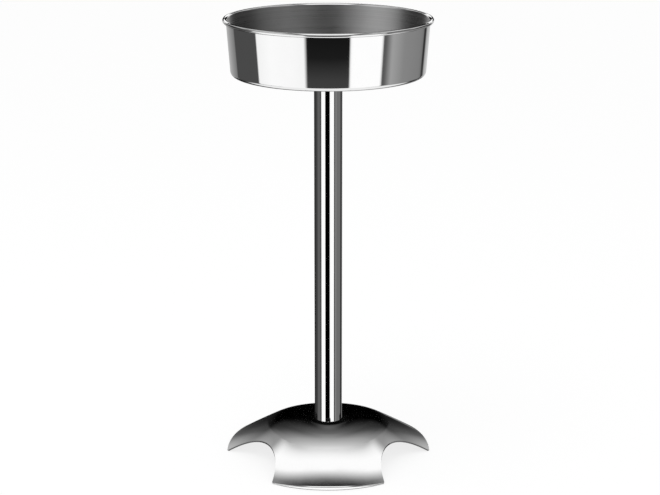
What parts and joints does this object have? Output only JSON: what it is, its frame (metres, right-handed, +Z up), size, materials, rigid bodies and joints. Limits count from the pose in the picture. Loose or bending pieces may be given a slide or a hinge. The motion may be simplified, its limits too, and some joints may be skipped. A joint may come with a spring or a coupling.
{
  "type": "champagne bucket stand",
  "caption": "Free-standing bucket stand: a shallow round pan with a rolled rim on a straight tube pole, on a domed base cut into spreading feet.",
  "frame": {"origin": "on the floor, on the pole's axis", "axes": "+Z up along the pole; one foot of the base points to -Y, the other two to the back left and back right"},
  "size_m": [0.24, 0.2375, 0.516],
  "materials": {
    "polished_steel": "mirror-polished stainless steel, satin inside the pan and under the base",
    "fastener_steel": "zinc-plated steel",
    "plain_steel": "plain turned steel",
    "pad_rubber": "matt black rubber"
  },
  "bodies": {
    "root": {"bucket_pan": "polished_steel", "pan_screw": "fastener_steel", "pan_spring_washer": "fastener_steel", "pan_washer": "fastener_steel", "pan_support_disc": "plain_steel", "pole_tube": "polished_steel", "pole_top_plug": "plain_steel", "pole_bottom_plug": "plain_steel", "base_shell": "polished_steel", "base_stiffener": "plain_steel", "base_washer": "fastener_steel", "base_spring_washer": "fastener_steel", "base_bolt": "fastener_steel", "foot_pads": "pad_rubber"}
  },
  "joints": []
}
